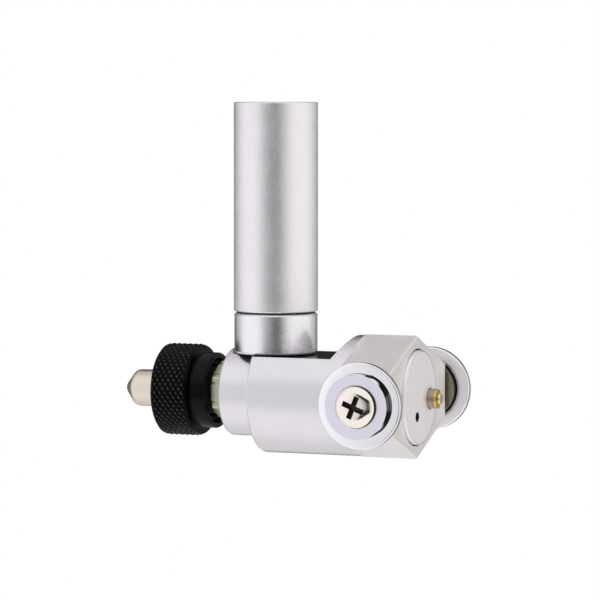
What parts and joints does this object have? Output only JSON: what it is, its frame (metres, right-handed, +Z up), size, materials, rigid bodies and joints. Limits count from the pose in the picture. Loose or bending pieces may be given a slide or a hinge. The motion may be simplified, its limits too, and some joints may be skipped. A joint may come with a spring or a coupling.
{
  "type": "honing guide",
  "caption": "Wheel-guided hand tool head: turned cross body on a tubular handle, front disc with an eccentric pin between guide wheels, rear knurled knob with a push spindle.",
  "frame": {"origin": "centre of the handle's flat top face, where the tool is held", "axes": "+Z up the handle, +X forward along the cross body towards the wheels and the front disc, -Y the near side"},
  "size_m": [0.0634, 0.0468, 0.0668],
  "materials": {
    "satin_aluminium": "satin, bead-blasted and clear anodised",
    "turned_aluminium": "fine turned and clear anodised",
    "polished_steel": "polished",
    "steel": "plain machined",
    "spindle_steel": "ground, warm tint",
    "nickel": "nickel plated",
    "zinc_plate": "zinc plated",
    "brass": "turned",
    "pin_tip": "polished, pale",
    "black_knob": "matte black, diamond knurled",
    "rubber": "matte black"
  },
  "bodies": {
    "head": {"body_block": "turned_aluminium", "front_disc": "turned_aluminium", "handle_gasket": "rubber", "handle_collar": "satin_aluminium", "seam_washer": "rubber", "handle_tube": "satin_aluminium", "handle_stud": "steel", "handle_insert": "brass", "handle_end_plug": "satin_aluminium", "thread_bush": "zinc_plate", "bush_stop_ring": "steel", "return_spring": "steel", "spring_seat": "brass", "spacer_washer_near": "steel", "axle_sleeve_near": "brass", "axle_screw_near": "nickel", "spacer_washer_far": "steel", "axle_sleeve_far": "brass", "axle_screw_far": "nickel"},
    "knob_seat": {"thrust_washer": "steel"},
    "knob": {"knurled_knob": "black_knob", "knob_thread_insert": "brass", "knob_o_ring": "rubber"},
    "spindle": {"spindle": "spindle_steel", "spindle_clip": "steel", "spring_collar": "steel", "pin_carrier": "steel", "carrier_nut": "steel", "pin_holder": "spindle_steel", "pin_ferrule": "brass", "pin_tip": "pin_tip"},
    "near_wheel": {"wheel_bush_near": "brass", "wheel_hub_near": "turned_aluminium", "wheel_rim_near": "polished_steel"},
    "far_wheel": {"wheel_bush_far": "brass", "wheel_hub_far": "turned_aluminium", "wheel_rim_far": "polished_steel"}
  },
  "joints": [
    {"name": "near_wheel_spin", "type": "hinge", "parent": "head", "child": "near_wheel", "pos_m": [0.0244, -0.0194, -0.0552], "axis": [0, 1, 0], "continuous": true},
    {"name": "far_wheel_spin", "type": "hinge", "parent": "head", "child": "far_wheel", "pos_m": [0.0244, 0.0194, -0.0552], "axis": [0, 1, 0], "continuous": true},
    {"name": "knob_travel", "type": "slide", "parent": "head", "child": "knob_seat", "axis": [1, 0, 0], "range_m": [-0.00075, 0.001]},
    {"name": "knob_turn", "type": "hinge", "parent": "knob_seat", "child": "knob", "pos_m": [-0.0171, 0, -0.0552], "axis": [1, 0, 0], "range_deg": [-360, 480]},
    {"name": "spindle_push", "type": "slide", "parent": "knob_seat", "child": "spindle", "axis": [1, 0, 0], "range_m": [0, 0.0015], "stiffness_N_per_m": 800, "springref_m": -0.003, "deforming": ["return_spring"]}
  ],
  "couplings": [
    {"joint": "knob_turn", "follows": "knob_travel", "rad_per_m": 8377.6}
  ]
}
